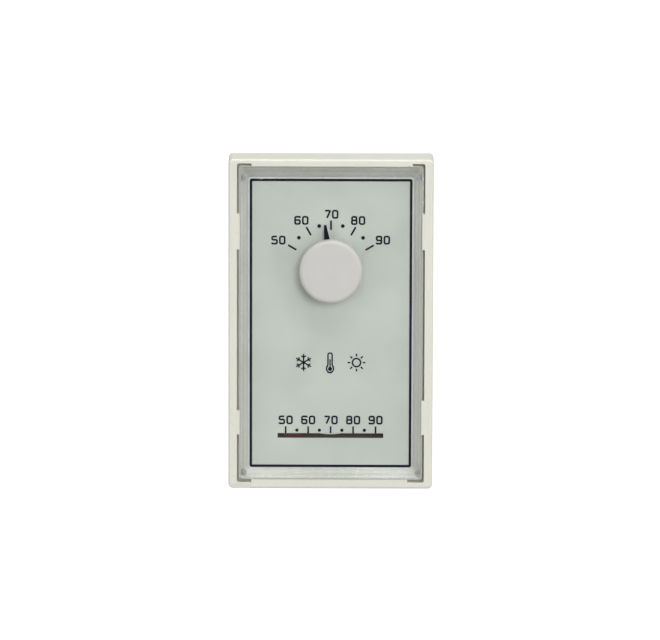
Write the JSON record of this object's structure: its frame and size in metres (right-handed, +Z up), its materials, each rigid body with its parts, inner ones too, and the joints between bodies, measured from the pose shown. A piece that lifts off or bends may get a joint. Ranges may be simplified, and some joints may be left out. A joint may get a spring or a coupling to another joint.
{
  "type": "wall thermostat",
  "caption": "Upright box-shaped mains-voltage wall thermostat with a turning temperature knob, clear recessed front and a room thermometer slot.",
  "frame": {"origin": "centre of the face that rests on the wall", "axes": "+X to the right across the front, +Z up, and the front faces -Y"},
  "size_m": [0.0744, 0.0364, 0.1194],
  "materials": {
    "ivory_plastic": "satin",
    "clear_plastic": "polished",
    "silver_sheet": "satin",
    "knob_plastic": "satin",
    "black_plastic": "matt",
    "base_plastic": "matt",
    "phenolic": "matt",
    "zinc_steel": "zinc plated",
    "spring_steel": "satin",
    "brass": "satin",
    "copper": "satin",
    "contact_silver": "satin",
    "backing_card": "matt",
    "pale_plastic": "matt",
    "red_plastic": "matt"
  },
  "bodies": {
    "base": {"base_plate": "base_plastic", "chassis": "zinc_steel", "chassis_screws": "zinc_steel", "bridge_bracket": "zinc_steel", "bridge_screws": "zinc_steel", "shaft_bushing": "brass", "bushing_nut": "zinc_steel", "lever_pins": "zinc_steel", "pin_clips": "spring_steel", "cover_clips": "spring_steel", "clip_rivets": "zinc_steel", "capsule_bracket": "zinc_steel", "bracket_rivets": "zinc_steel", "diaphragm_capsule": "copper", "sensing_bulb": "copper", "capillary_tube": "copper", "bulb_clips": "base_plastic", "switch_case": "phenolic", "switch_cover": "phenolic", "switch_rivets": "zinc_steel", "line_terminal": "brass", "load_terminal": "brass", "terminal_screws": "brass", "fixed_contact": "contact_silver"},
    "shaft": {"adjust_shaft": "zinc_steel", "range_cam": "zinc_steel", "shaft_clip": "spring_steel"},
    "range_lever": {"range_lever": "zinc_steel", "range_spring": "spring_steel"},
    "temperature_lever": {"temperature_lever": "zinc_steel", "calibration_screw": "zinc_steel", "lock_nut": "zinc_steel"},
    "plunger": {"element_plunger": "brass"},
    "switch_button": {"switch_button": "base_plastic"},
    "contact_arm": {"contact_blade": "brass", "moving_contact": "contact_silver"},
    "cover": {"cover_shell": "ivory_plastic", "clear_lens": "clear_plastic", "dial_plate": "silver_sheet", "lens_pins": "zinc_steel", "thermometer_backing": "backing_card", "backing_rivets": "zinc_steel", "thermometer_post": "zinc_steel"},
    "knob": {"knob": "knob_plastic", "knob_retainer": "spring_steel", "knob_spring": "spring_steel", "pointer": "black_plastic"},
    "thermometer": {"pointer_hub": "brass", "bimetal_coil": "brass", "thermometer_disc": "pale_plastic", "thermometer_pointer": "red_plastic"}
  },
  "joints": [
    {"name": "shaft_turn", "type": "hinge", "parent": "base", "child": "shaft", "pos_m": [0, 0, 0.0192], "axis": [0, 1, 0], "range_deg": [-52.6, 67.4]},
    {"name": "range_lever_tilt", "type": "hinge", "parent": "base", "child": "range_lever", "pos_m": [-0.022, 0, 0.006], "axis": [0, 1, 0], "range_deg": [-2.9, 3.7], "deforming": ["range_spring"]},
    {"name": "temperature_lever_tilt", "type": "hinge", "parent": "base", "child": "temperature_lever", "pos_m": [-0.022, 0, -0.008], "axis": [0, 1, 0], "range_deg": [0, 1.9], "stiffness_Nm_per_rad": 0.5},
    {"name": "plunger_push", "type": "slide", "parent": "base", "child": "plunger", "axis": [0, 0, 1], "range_m": [-0.00062, 0.00001]},
    {"name": "button_press", "type": "slide", "parent": "base", "child": "switch_button", "axis": [0, 0, 1], "range_m": [-0.00126, 0.00001]},
    {"name": "contact_swing", "type": "hinge", "parent": "base", "child": "contact_arm", "pos_m": [-0.017, 0, -0.02355], "axis": [0, 1, 0], "range_deg": [-0.05, 2.25]},
    {"name": "cover_off", "type": "slide", "parent": "base", "child": "cover", "axis": [0, -1, 0], "range_m": [0, 0.045]},
    {"name": "knob_turn", "type": "hinge", "parent": "cover", "child": "knob", "pos_m": [0, 0, 0.0192], "axis": [0, 1, 0], "range_deg": [-53, 68]},
    {"name": "thermometer_turn", "type": "hinge", "parent": "cover", "child": "thermometer", "pos_m": [0, 0, -0.0191], "axis": [0, 1, 0], "range_deg": [-69.2, 5.2], "stiffness_Nm_per_rad": 0.0002}
  ],
  "couplings": [
    {"joint": "knob_turn", "follows": "shaft_turn", "ratio": 1},
    {"joint": "range_lever_tilt", "follows": "shaft_turn", "ratio": 0.0521},
    {"joint": "plunger_push", "follows": "temperature_lever_tilt", "m_per_rad": -0.018},
    {"joint": "button_press", "follows": "temperature_lever_tilt", "m_per_rad": -0.037},
    {"joint": "contact_swing", "follows": "temperature_lever_tilt", "ratio": 1.156}
  ]
}
